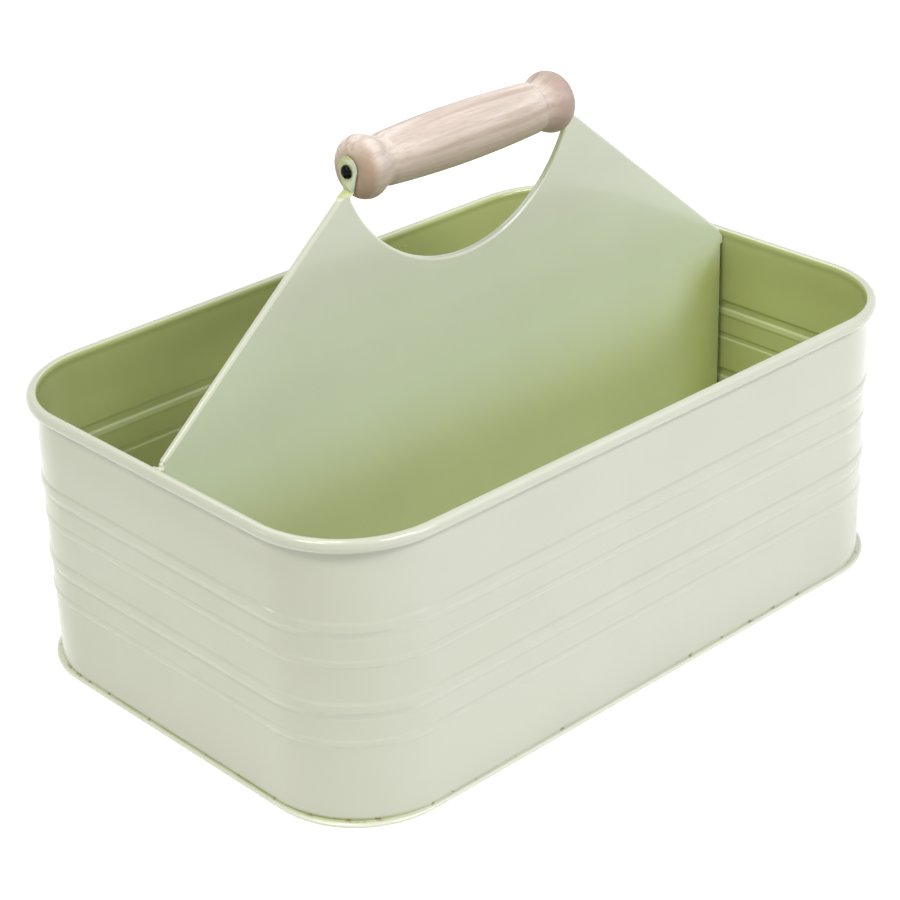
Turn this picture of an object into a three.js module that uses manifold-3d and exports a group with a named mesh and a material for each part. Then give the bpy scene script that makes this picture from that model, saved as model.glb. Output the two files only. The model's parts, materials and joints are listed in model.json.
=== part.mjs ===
// Two-compartment carry caddy in painted sheet steel: a beaded tub with a rolled rim and a folded base
// seam, a divider that rises into two horns, and a turned wooden grip screwed between the horns' ears.
// Millimetres, +Z up. X runs along the length and -Y is the front. The origin is at the middle of the
// underside.
import * as THREE from 'three';
import { mergeVertices } from 'three/addons/utils/BufferGeometryUtils.js';
import Module from 'manifold-3d';

// Sheet and fits
const sheet = 0.6;
const fit = 0.3;

// Tub, measured on the centre line of the rolled rim
const rimLength = 300;
const rimWidth = 197;
const rimHeight = 110.6;
const rimRadius = 2.55;
const rimOverhang = 0.6; // the wall's outer face stands this far inside the rim's centre line
const cornerRadius = 40;
const rollStart = 205; // degrees round the roll, where the wall runs into it
const rollEnd = -105; // where the rolled edge ends, just short of the wall
const rollRise = 4.2; // the wall leans into the roll over this height
const seamPlace = 58; // the strip's two ends meet here on the back wall

// Beads pressed into the wall: each pair is a bold upper bead with a shallow groove under it, and a
// finer lower bead
const upperBeads = [47.2, 78.8];
const beadPitch = 14;
const boldBead = { rise: 0.8, half: 2.6 };
const fineBead = { rise: 0.5, half: 2.1 };
const groove = { drop: 3.7, depth: 0.3 };

// Base seam: the pan's edge is folded up and over the wall's foot flange
const lipReach = 2;
const lipCorner = 37.5; // tighter than the wall's corners, where the folded lip stands out further
const footBend = 0.8;

// Divider
const dividerOffset = -2.25;
const hemRadius = 1.5;
const hemLeg = 2.2;
const hemFoot = 3; // the slope's hem stops this far inside the rim
const flangeWidth = 10;
const flangeDrop = 3; // the end flanges stop this far under the roll
const hornDrop = 8.5; // horn tip below the grip's axis
const hornSet = 1.5; // inner edge of the horn tip outside the ear's middle
const hornFlat = 0.8; // what is left between the two folds at the horn tip
const archDrop = 45.7; // lowest point of the arch below the grip's axis
const earWidth = 9.6;
const earRise = 5.7;
const earFoot = 7.1; // foot of the ear below the grip's axis
const neckWidth = 6.5;

// Grip
const gripHeight = 194.3;
const gripLength = 106.6;
const barrelRadius = 11.1;
const barrelEndRadius = 9.6;
const ballRadius = 11.85;
const ballHalfLength = 10; // the end balls are a little shorter than round
const ballInset = 7; // centre of the end ball inside the end face
const valleyRadius = 8.9;

// Screws
const shankRadius = 1.75;
const screwLength = 24;
const headRadius = 3;
const headHeight = 1.8;
const tipLength = 4;

// Weld tacks
const tackRadii = new THREE.Vector3(1.7, 1.6, 1.4);

// Facets
const cornerSteps = 6;
const rollSteps = 10;
const archSteps = 24;
const foldSteps = 5;
const twistSteps = 8;
const pinchSides = 8;
const turnSteps = 24;
const ballSteps = 8;
const barrelSteps = 8;

const enamel = new THREE.MeshStandardMaterial({ color: '#ced2b9', roughness: 0.32, metalness: 0.0 });
const beech = new THREE.MeshStandardMaterial({ color: '#d3bfae', roughness: 0.7, metalness: 0.0 });
const blackSteel = new THREE.MeshStandardMaterial({ color: '#16171a', roughness: 0.35, metalness: 0.6 });

const wasm = await Module();
wasm.setup();

const point2 = (x, y) => new THREE.Vector2(x, y);
const point3 = (x, y, z) => new THREE.Vector3(x, y, z);
const degrees = THREE.MathUtils.degToRad;
const alongX = point3(1, 0, 0);
const alongY = point3(0, 1, 0);
const alongZ = point3(0, 0, 1);

function solid(geometry) {
  const bare = geometry.clone();
  const extras = Object.keys(bare.attributes).filter((name) => name !== 'position');
  extras.forEach((name) => bare.deleteAttribute(name));
  const merged = mergeVertices(bare);
  return new wasm.Manifold(new wasm.Mesh({
    numProp: 3,
    vertProperties: new Float32Array(merged.attributes.position.array),
    triVerts: new Uint32Array(merged.index.array),
  }));
}

function geometryOf(body) {
  const mesh = body.getMesh();
  const geometry = new THREE.BufferGeometry();
  geometry.setAttribute('position', new THREE.BufferAttribute(mesh.vertProperties, 3));
  geometry.setIndex(new THREE.BufferAttribute(mesh.triVerts, 1));
  return geometry;
}

// A path that is stepped only where it bends
class StationPath extends THREE.Curve {
  constructor(stations) {
    super();
    this.stations = stations;
    this.spans = stations.length - 1;
  }

  station(u) {
    return this.stations[Math.round(u * this.spans)];
  }

  getPointAt(u) {
    return this.station(u).point.clone();
  }

  getTangentAt(u) {
    return this.station(u).tangent.clone();
  }
}

// A section's x points away from the material's edge or wall, to the left of the path's travel seen from
// its y side, and its y points along +Z on a level path and along +Y on an upright one.
function sweep(section, path) {
  const shape = new THREE.Shape(section.map((point) => point2(-point.y, point.x)));
  return new THREE.ExtrudeGeometry(shape, { steps: path.spans, extrudePath: path });
}

// Section of a sheet whose middle line runs through the given points
function sheetSection(middle) {
  const left = [];
  const right = [];
  const last = middle.length - 1;
  const heading = (i) => middle[i + 1].clone().sub(middle[i]).normalize();
  middle.forEach((point, i) => {
    const arriving = heading(Math.max(i - 1, 0));
    const leaving = heading(Math.min(i, last - 1));
    const side = point2(-arriving.y - leaving.y, arriving.x + leaving.x).normalize();
    const reach = sheet / 2 / side.dot(point2(-leaving.y, leaving.x));
    left.push(point.clone().addScaledVector(side, reach));
    right.unshift(point.clone().addScaledVector(side, -reach));
  });
  return [...left, ...right];
}

function arcPoints(centre, radius, from, to, steps) {
  const points = [];
  for (let i = 0; i <= steps; i += 1) {
    const angle = degrees(from + ((to - from) * i) / steps);
    points.push(point2(centre.x + radius * Math.cos(angle), centre.y + radius * Math.sin(angle)));
  }
  return points;
}

// The tub's plan, taken on the wall's outer face
const wallHalfLength = rimLength / 2 - rimOverhang;
const wallHalfWidth = rimWidth / 2 - rimOverhang;
const wallCorner = cornerRadius - rimOverhang;
const cornerX = wallHalfLength - wallCorner;
const cornerY = wallHalfWidth - wallCorner;

function planShape(grow, radius) {
  const x = wallHalfLength + grow - radius;
  const y = wallHalfWidth + grow - radius;
  const quarter = Math.PI / 2;
  const shape = new THREE.Shape();
  shape.absarc(x, y, radius, 0, quarter);
  shape.absarc(-x, y, radius, quarter, 2 * quarter);
  shape.absarc(-x, -y, radius, 2 * quarter, 3 * quarter);
  shape.absarc(x, -y, radius, 3 * quarter, 4 * quarter);
  return shape;
}

function planSlab(grow, radius, bottom, top) {
  const settings = { depth: top - bottom, bevelEnabled: false, curveSegments: cornerSteps };
  return new THREE.ExtrudeGeometry(planShape(grow, radius), settings).translate(0, 0, bottom);
}

// Once round the wall, seen from above as the clock runs, from one end of the strip to the other
function wallPath() {
  const stations = [];
  const place = (x, y, heading) => stations.push({
    point: point3(x, y, 0),
    tangent: point3(Math.cos(degrees(heading)), Math.sin(degrees(heading)), 0),
  });
  const corners = [[cornerX, cornerY], [cornerX, -cornerY], [-cornerX, -cornerY], [-cornerX, cornerY]];
  place(seamPlace + fit / 2, wallHalfWidth, 0);
  corners.forEach(([x, y], quarter) => {
    for (let i = 0; i <= cornerSteps; i += 1) {
      const heading = -90 * (quarter + i / cornerSteps);
      const outward = degrees(heading + 90);
      place(x + wallCorner * Math.cos(outward), y + wallCorner * Math.sin(outward), heading);
    }
  });
  place(seamPlace - fit / 2, wallHalfWidth, 0);
  return new StationPath(stations);
}

const middleOfWall = -sheet / 2;
const footHeight = sheet + fit + sheet / 2;
const flangeReach = lipReach - sheet - fit;
const lipHeight = 3 * sheet + 2 * fit;

// A bead's middle line swells out and back in half a cosine wave each way
function beadPoints(height, { rise, half }) {
  const shares = [[-1, 0], [-0.5, 0.5], [0, 1], [0.5, 0.5], [1, 0]];
  return shares.map(([along, out]) => point2(middleOfWall + rise * out, height + half * along));
}

function wallSection() {
  const foot = arcPoints(point2(middleOfWall + footBend, footHeight + footBend), footBend, 270, 180, 3);
  const beads = upperBeads.flatMap((height) => [
    ...beadPoints(height - beadPitch, fineBead),
    point2(middleOfWall - groove.depth, height - groove.drop),
    ...beadPoints(height, boldBead),
  ]);
  const roll = arcPoints(
    point2(rimOverhang, rimHeight), rimRadius - sheet / 2, rollStart, rollEnd, rollSteps,
  );
  return sheetSection([
    point2(flangeReach, footHeight),
    ...foot,
    ...beads,
    point2(middleOfWall, rimHeight - rollRise),
    ...roll,
  ]);
}

function tubWall() {
  return sweep(wallSection(), wallPath());
}

// The floor's edge turns up outside the wall's foot flange and folds in over it
function basePan() {
  const block = solid(planSlab(lipReach, lipCorner, 0, lipHeight));
  const inside = solid(planSlab(lipReach - sheet, lipCorner - sheet, sheet, lipHeight - sheet));
  const mouth = solid(planSlab(fit, wallCorner + fit, sheet, lipHeight + sheet));
  return geometryOf(block.subtract(inside).subtract(mouth));
}

// Lines of the divider, in its own upright plane
const dividerFoot = sheet + fit;
const dividerEnd = wallHalfLength - sheet - groove.depth - fit;
const dividerNotch = rimLength / 2 - rimRadius - fit;
const flangeTop = rimHeight - rimRadius - flangeDrop;
const earFace = gripLength / 2 + fit;
const earMiddle = earFace + sheet / 2;
const earOffset = -dividerOffset; // the ears bring the grip over the middle of the tub
const hornTip = gripHeight - hornDrop;
const archBottom = gripHeight - archDrop;
const archHalfChord = earMiddle + hornSet;
const archSagitta = hornTip - archBottom;
const archRadius = (archHalfChord ** 2 + archSagitta ** 2) / (2 * archSagitta);
const archCentre = point2(0, archBottom + archRadius);
const foldRadius = archRadius + hemRadius;
const archTipReach = Math.sqrt(foldRadius ** 2 - (archCentre.y - hornTip) ** 2);
const archTipAngle = Math.atan2(hornTip - archCentre.y, archTipReach);

// The slope's fold ends beside the arch's at the horn tip, and its crest runs down to the rim
const foldTip = point2(archTipReach + hornFlat, hornTip);
const crestFoot = point2(rimLength / 2, rimHeight);
const crestSight = foldTip.clone().sub(crestFoot);
const slopeTurn = crestSight.angle() - Math.asin(hemRadius / crestSight.length());
const slopeWay = point2(Math.cos(slopeTurn), Math.sin(slopeTurn));
const slopeOut = point2(slopeWay.y, -slopeWay.x);
const foldStart = crestFoot.clone().addScaledVector(slopeOut, -hemRadius);

function onFold(x) {
  const along = (x - foldStart.x) / slopeWay.x;
  return foldStart.clone().addScaledVector(slopeWay, along);
}

const uprightPlane = new THREE.Matrix4().makeBasis(alongX, alongZ, alongY.clone().negate());

function dividerPanel() {
  const shoulder = onFold(dividerNotch);
  const shape = new THREE.Shape();
  shape.moveTo(-dividerEnd, dividerFoot);
  shape.lineTo(dividerEnd, dividerFoot);
  shape.lineTo(dividerEnd, flangeTop);
  shape.lineTo(dividerNotch, flangeTop);
  shape.lineTo(shoulder.x, shoulder.y);
  shape.lineTo(foldTip.x, foldTip.y);
  shape.absarc(0, archCentre.y, foldRadius, archTipAngle, -Math.PI - archTipAngle, true);
  shape.lineTo(-foldTip.x, foldTip.y);
  shape.lineTo(-shoulder.x, shoulder.y);
  shape.lineTo(-dividerNotch, flangeTop);
  shape.lineTo(-dividerEnd, flangeTop);
  const settings = { depth: sheet, bevelEnabled: false, curveSegments: archSteps };
  const geometry = new THREE.ExtrudeGeometry(shape, settings).translate(0, 0, -sheet / 2);
  return geometry.applyMatrix4(uprightPlane);
}

const foldMiddle = hemRadius - sheet / 2;

// The hem turns back through half a circle behind the panel and leaves a short leg there
function hemSection() {
  return sheetSection([
    point2(-hemLeg, 2 * foldMiddle),
    ...arcPoints(point2(0, foldMiddle), foldMiddle, 90, -90, foldSteps),
    point2(-hemLeg, 0),
  ]);
}

function slopeHem(from, to) {
  const tangent = to.clone().sub(from).normalize();
  const station = ({ x, y }) => ({ point: point3(x, 0, y), tangent: point3(tangent.x, 0, tangent.y) });
  return sweep(hemSection(), new StationPath([station(from), station(to)]));
}

function archHem() {
  const stations = [];
  for (let i = 0; i <= archSteps; i += 1) {
    const angle = archTipAngle - ((Math.PI + 2 * archTipAngle) * i) / archSteps;
    const x = foldRadius * Math.cos(angle);
    const z = archCentre.y + foldRadius * Math.sin(angle);
    stations.push({ point: point3(x, 0, z), tangent: point3(Math.sin(angle), 0, -Math.cos(angle)) });
  }
  return sweep(hemSection(), new StationPath(stations));
}

function endFlange(side) {
  const height = flangeTop - dividerFoot;
  const geometry = new THREE.BoxGeometry(sheet, flangeWidth, height);
  const x = side * (dividerEnd - sheet / 2);
  return geometry.translate(x, (flangeWidth - sheet) / 2, dividerFoot + height / 2);
}

// At the horn's tip the two folds are pinched flat together and turn a quarter, so that the ear lies flat
// on the grip's end
function twistedNeck(side) {
  const bottom = hornTip - sheet;
  const top = gripHeight - earFoot + sheet;
  const crestTipReach = foldTip.x + hemRadius / slopeOut.x;
  const tipWidth = crestTipReach - archHalfChord;
  const tipMiddle = (crestTipReach + archHalfChord) / 2;
  const halfSide = 180 / pinchSides;
  const round = arcPoints(point2(0, 0), 0.5, halfSide, 360 - halfSide, pinchSides - 1);
  const settings = { depth: top - bottom, steps: twistSteps, bevelEnabled: false };
  const geometry = new THREE.ExtrudeGeometry(new THREE.Shape(round), settings).translate(0, 0, bottom);
  const place = geometry.attributes.position;
  for (let i = 0; i < place.count; i += 1) {
    const share = THREE.MathUtils.smoothstep(place.getZ(i), hornTip, gripHeight - earFoot);
    const turn = (side * share * Math.PI) / 2;
    const across = place.getX(i) * THREE.MathUtils.lerp(tipWidth, neckWidth, share);
    const through = place.getY(i) * THREE.MathUtils.lerp(2 * hemRadius, sheet, share);
    const middle = side * THREE.MathUtils.lerp(tipMiddle, earMiddle, share ** 2);
    const back = THREE.MathUtils.lerp(foldMiddle, earOffset, share);
    const x = middle + across * Math.cos(turn) - through * Math.sin(turn);
    place.setXY(i, x, back + across * Math.sin(turn) + through * Math.cos(turn));
  }
  return geometry;
}

function ear(side) {
  const round = earWidth / 2;
  const top = earRise - round;
  const shape = new THREE.Shape();
  shape.moveTo(-neckWidth / 2, -earFoot);
  shape.lineTo(neckWidth / 2, -earFoot);
  shape.absarc(0, top, round, 0, Math.PI);
  const hole = new THREE.Path();
  hole.absarc(0, 0, shankRadius + fit, 0, 2 * Math.PI, true);
  shape.holes.push(hole);
  const settings = { depth: sheet, bevelEnabled: false, curveSegments: turnSteps / 2 };
  const geometry = new THREE.ExtrudeGeometry(shape, settings).translate(0, 0, -sheet / 2);
  geometry.applyMatrix4(new THREE.Matrix4().makeBasis(alongY, alongZ, alongX));
  return geometry.translate(side * earMiddle, earOffset, gripHeight);
}

function divider() {
  const footReach = rimLength / 2 - rimRadius - hemFoot;
  const rightFoot = onFold(footReach);
  const leftFoot = point2(-rightFoot.x, rightFoot.y);
  const pieces = [
    slopeHem(rightFoot, foldTip),
    slopeHem(point2(-foldTip.x, foldTip.y), leftFoot),
    archHem(),
    ...[-1, 1].flatMap((side) => [endFlange(side), twistedNeck(side), ear(side)]),
  ];
  const body = pieces.reduce((whole, piece) => whole.add(solid(piece)), solid(dividerPanel()));
  return geometryOf(body);
}

// Turned profiles run from the lower to the upper end of the axis, then the axis is laid along X
function turned(profile) {
  return new THREE.LatheGeometry(profile, turnSteps).rotateZ(-Math.PI / 2);
}

function grip() {
  const half = gripLength / 2;
  const ballCentre = half - ballInset;
  const endAngle = THREE.MathUtils.radToDeg(Math.asin(ballInset / ballHalfLength));
  const valleyAngle = THREE.MathUtils.radToDeg(Math.acos(valleyRadius / ballRadius));
  const valleyPlace = ballCentre - ballHalfLength * Math.sin(degrees(valleyAngle));
  const barrelEnd = valleyPlace - (barrelEndRadius - valleyRadius);
  const bore = shankRadius + fit;
  const boreEnd = half - screwLength;
  const ball = arcPoints(point2(0, 0), 1, -valleyAngle, endAngle, ballSteps).map(
    ({ x, y }) => point2(ballRadius * x, ballCentre + ballHalfLength * y),
  );
  const barrel = [];
  for (let i = 0; i <= barrelSteps; i += 1) {
    const share = (2 * i) / barrelSteps - 1;
    const radius = barrelRadius - (barrelRadius - barrelEndRadius) * share ** 2;
    barrel.push(point2(radius, barrelEnd * share));
  }
  const upper = [...ball, point2(bore, half), point2(bore, boreEnd), point2(0, boreEnd)];
  const lower = upper.map(({ x, y }) => point2(x, -y)).reverse();
  return turned([...lower, ...barrel, ...upper]);
}

// The screw's seat is at the origin, with its head on the outer side
function screw() {
  const reach = screwLength - fit;
  const dome = [];
  for (let i = 0; i <= ballSteps / 2; i += 1) {
    const angle = (Math.PI * i) / ballSteps;
    dome.push(point2(headRadius * Math.cos(angle), headHeight * Math.sin(angle)));
  }
  dome[dome.length - 1].x = 0;
  return turned([
    point2(0, -reach),
    point2(shankRadius, tipLength - reach),
    point2(shankRadius, 0),
    ...dome,
  ]);
}

// A bead of weld that saddles the divider's corner and runs against the roll of the rim
function weldTack(side) {
  const reach = dividerNotch - tackRadii.x + fit;
  const seat = onFold(reach);
  const slope = side * Math.atan2(slopeOut.x, slopeOut.y);
  const [length, width, height] = tackRadii.toArray().map((radius) => 4 * radius);
  const ball = new THREE.SphereGeometry(1, turnSteps / 2, ballSteps);
  ball.scale(...tackRadii).translate(side * reach, 0, seat.y);
  const slot = new THREE.BoxGeometry(length, sheet + 2 * fit, height);
  slot.translate(0, 0, fit - height / 2).rotateY(slope).translate(side * reach, 0, seat.y);
  const roll = new THREE.CylinderGeometry(rimRadius + fit, rimRadius + fit, width, turnSteps);
  roll.translate((side * rimLength) / 2, 0, rimHeight);
  return geometryOf(solid(ball).subtract(solid(slot)).subtract(solid(roll)));
}

const caddy = new THREE.Group();

function add(parent, name, geometry, material) {
  const mesh = new THREE.Mesh(geometry, material);
  mesh.name = name;
  parent.add(mesh);
  return mesh;
}

add(caddy, 'tub_wall', tubWall(), enamel);
add(caddy, 'base_pan', basePan(), enamel);

const centrePlane = new THREE.Group();
centrePlane.position.y = dividerOffset;
caddy.add(centrePlane);
add(centrePlane, 'divider_panel', divider(), enamel);
add(centrePlane, 'weld_tack_near', weldTack(-1), enamel);
add(centrePlane, 'weld_tack_far', weldTack(1), enamel);

const gripAxis = new THREE.Group();
gripAxis.position.set(0, earOffset, gripHeight);
centrePlane.add(gripAxis);
add(gripAxis, 'handle_grip', grip(), beech);
const screwSeat = earFace + sheet + fit;
add(gripAxis, 'screw_far', screw(), blackSteel).position.x = screwSeat;
const nearScrew = add(gripAxis, 'screw_near', screw(), blackSteel);
nearScrew.position.x = -screwSeat;
nearScrew.rotation.z = Math.PI;

export default caddy;
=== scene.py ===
"""Looks of the carry caddy: a beaded, rolled-rim tub of enamelled sheet steel, a hemmed divider and a turned
wooden grip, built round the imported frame. All lengths are in metres; MM turns a size in millimetres to them.
"""

import json
import math

import bmesh
import bpy
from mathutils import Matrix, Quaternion, Vector


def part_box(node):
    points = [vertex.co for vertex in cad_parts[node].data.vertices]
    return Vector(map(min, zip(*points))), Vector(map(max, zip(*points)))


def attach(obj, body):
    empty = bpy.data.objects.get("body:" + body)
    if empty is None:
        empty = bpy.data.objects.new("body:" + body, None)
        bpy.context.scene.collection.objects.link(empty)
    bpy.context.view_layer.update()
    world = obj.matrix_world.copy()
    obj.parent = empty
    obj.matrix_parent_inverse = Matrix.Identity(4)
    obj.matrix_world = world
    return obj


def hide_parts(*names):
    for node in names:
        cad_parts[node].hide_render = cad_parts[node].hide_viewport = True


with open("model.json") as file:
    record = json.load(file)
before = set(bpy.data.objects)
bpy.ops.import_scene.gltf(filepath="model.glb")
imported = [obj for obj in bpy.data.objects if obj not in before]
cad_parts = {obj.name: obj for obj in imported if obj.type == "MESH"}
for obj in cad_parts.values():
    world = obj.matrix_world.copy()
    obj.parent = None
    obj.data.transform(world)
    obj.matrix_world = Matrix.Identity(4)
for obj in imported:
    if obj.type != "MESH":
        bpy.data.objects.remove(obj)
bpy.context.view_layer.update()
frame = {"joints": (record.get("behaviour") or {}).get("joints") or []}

MM = 0.001

# Sheet and fits
SHEET = 0.6 * MM
FIT = 0.3 * MM
MERGE = 0.001 * MM

# The tub's wall, whose outside box is the rim's
RIM_RADIUS = 2.55 * MM
RIM_OVERHANG = 0.6 * MM
CORNER_RADIUS = 40 * MM
ROLL_HALF_WIDTH = 2.2 * MM
ROLL_INSET = 0.3 * MM
ROLL_START = 185
ROLL_END = -105
ROLL_RISE = 5 * MM
LEAN_RISE = 20 * MM
SEAM_PLACE = 58 * MM
SEAM_WIDTH = 2.2 * MM
SEAM_RISE = 0.2 * MM
SEAM_RIPPLE = 1.6 * MM
PLAN_STEP = 3 * MM

# Beads pressed into the wall: a bold one with a groove under it, and a fine one below. Each has a flat crown
# between an upper and a steeper lower flank.
UPPER_BEADS = (47.2 * MM, 78.8 * MM)
BEAD_PITCH = 14 * MM
BOLD_BEAD = {"rise": 0.65 * MM, "crown": 1.1 * MM, "upper": 1.7 * MM, "lower": 1.5 * MM}
FINE_BEAD = {"rise": 0.4 * MM, "crown": 0.6 * MM, "upper": 1.3 * MM, "lower": 1.2 * MM}
GROOVE_DROP = 3.9 * MM
GROOVE_DEPTH = 0.2 * MM
GROOVE_HALF = 1.3 * MM

# Base seam, pressed tight
LIP_REACH = 1.3 * MM
LIP_HEIGHT = 3 * SHEET
LIP_CORNER = 38 * MM
FOOT_BEND = 0.6 * MM

# Divider
DIVIDER_OFFSET = -2.25 * MM
HEM_RADIUS = 1.5 * MM
HEM_BEND = 1.25 * MM
HEM_LEG = 2.2 * MM
HEM_FOOT = 3 * MM
FLANGE_WIDTH = 10 * MM
FLANGE_DROP = 0.6 * MM
FLANGE_BEND = 1.2 * MM
END_GAP = 1.4 * MM
HORN_DROP = 8.5 * MM
HORN_SET = 1.5 * MM
HORN_FLAT = 0.8 * MM
ARCH_DROP = 45.7 * MM
EAR_WIDTH = 9.6 * MM
EAR_RISE = 5.7 * MM
EAR_FOOT = 7.1 * MM
EAR_EDGE = 0.15 * MM
NECK_WIDTH = 5.4 * MM
NECK_ROOT = 1.6 * MM
PLEATS = 3
PLEAT_DEPTH = 0.35

# Grip and screws
BARREL_RADIUS = 11.1 * MM
BARREL_END_RADIUS = 9.8 * MM
SHOULDER = 1.8 * MM
BALL_RADIUS = 11.85 * MM
BALL_INSET = 6.4 * MM
END_FLAT = 5.6 * MM
VALLEY_RADIUS = 9.1 * MM
VALLEY_REACH = 8.4 * MM
SHANK_RADIUS = 1.75 * MM
SCREW_LENGTH = 24 * MM
HEAD_RADIUS = 2.6 * MM
HEAD_HEIGHT = 1.8 * MM
TIP_LENGTH = 4 * MM

# Weld tacks, which take in a length of the roll and of the hem just under their skins
TACK_SKIN = 0.12 * MM
TACK_ROLL_LENGTH = 12 * MM
TACK_HEM_LENGTH = 3 * MM
TACK_VOXEL = 0.2 * MM
FAR_TACK_BACK = 1.2 * MM

# Angles in degrees from which faces meet in a crease
SHEET_CREASE = 40
TURNED_CREASE = 35
WELD_CREASE = 60

# The photograph's camera, fitted to the rim, the base seam, the divider and the grip
CAMERA_PLACE = Vector((-577.7, -615.7, 494.9)) * MM
CAMERA_AIM = Vector((-9.0, 0, 67.2)) * MM
CAMERA_ROLL = -1.79
CAMERA_LENS = 97.0

# Studio
DOME_LIGHT = 0.26
FLOOR_LIFT = 0.45
FLOOR_NEAR = 0.6
FLOOR_FAR = 1.8
FLOOR_HALF = 12
FLOOR_DROP = 0.05 * MM
LAMP_AIM = Vector((0, 0, 90)) * MM
LAMP_DISTANCE = 1.8

# Painted light and shade in the enamel's tone, kept on each point as the attribute 'inside': from 0,
# the pale outside tone, to 1, the deepest painted shade, under the roll. Listed are the shares of the faces
# inside the tub, which are painted shade, the lengths over which they fade, and the tilts at which the
# roll's and the hem's faces turn pale as a painted highlight
PAINTED_SHADE = "inside"
PANEL_SHARE = 0.4
WALL_SHARE = 0.8
DIVIDER_SHARES = (0.69, PANEL_SHARE)
DIVIDER_FADE = (60 * MM, 108 * MM)
HORN_FADE = (115 * MM, 170 * MM)
HORN_LOSS = 0.75
NECK_SHARE = 0.7
EAR_SHARE = 0.88
CORNER_SHARE = 0.88
CORNER_FADE = 35 * MM
CORNER_DROP = 18 * MM
ARCH_SHARE = 0.5
FLANK_SHARE = 0.4
RIM_TURN = (0.6, 0.95)
HEM_TURN = (0.1, 0.6)
FACES_UP = 0.5
SKIN = 0.015 * MM
GRID_STEP = 5 * MM

scene = bpy.context.scene
spin_axis = Vector(frame["joints"][0]["pos_m"])
_, wall_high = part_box("tub_wall")
_, grip_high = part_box("handle_grip")

rim_half_length = wall_high.x - RIM_RADIUS
rim_half_width = wall_high.y - RIM_RADIUS
rim_height = wall_high.z - RIM_RADIUS
wall_half_length = rim_half_length - RIM_OVERHANG
wall_half_width = rim_half_width - RIM_OVERHANG
wall_corner = CORNER_RADIUS - RIM_OVERHANG
roll_middle = rim_half_length + RIM_RADIUS - ROLL_INSET - ROLL_HALF_WIDTH
roll_inside = roll_middle - ROLL_HALF_WIDTH
roll_overhang = wall_half_length - SHEET - roll_inside
divider_y = DIVIDER_OFFSET
grip_y = spin_axis.y
grip_height = spin_axis.z
grip_half = grip_high.x


def add(tree, kind, inputs=(), **settings):
    """A new node with its settings; inputs maps a socket to a value or to the output that feeds it."""
    node = tree.nodes.new(kind)
    for name, value in settings.items():
        setattr(node, name, value)
    for key, value in dict(inputs).items():
        if isinstance(value, bpy.types.NodeSocket):
            tree.links.new(value, node.inputs[key])
        else:
            node.inputs[key].default_value = value
    return node


def linear(hex_code):
    """An sRGB hex colour as the linear one that Blender's sockets take."""
    channels = [int(hex_code[i : i + 2], 16) / 255 for i in (1, 3, 5)]
    return [c / 12.92 if c <= 0.04045 else ((c + 0.055) / 1.055) ** 2.4 for c in channels] + [1.0]


def new_material(name):
    """An empty material with its tree, its shader and the piece's own coordinates."""
    material = bpy.data.materials.new(name)
    material.use_nodes = True
    tree = material.node_tree
    place = add(tree, "ShaderNodeTexCoord").outputs["Object"]
    return material, tree, tree.nodes["Principled BSDF"], place


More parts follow.
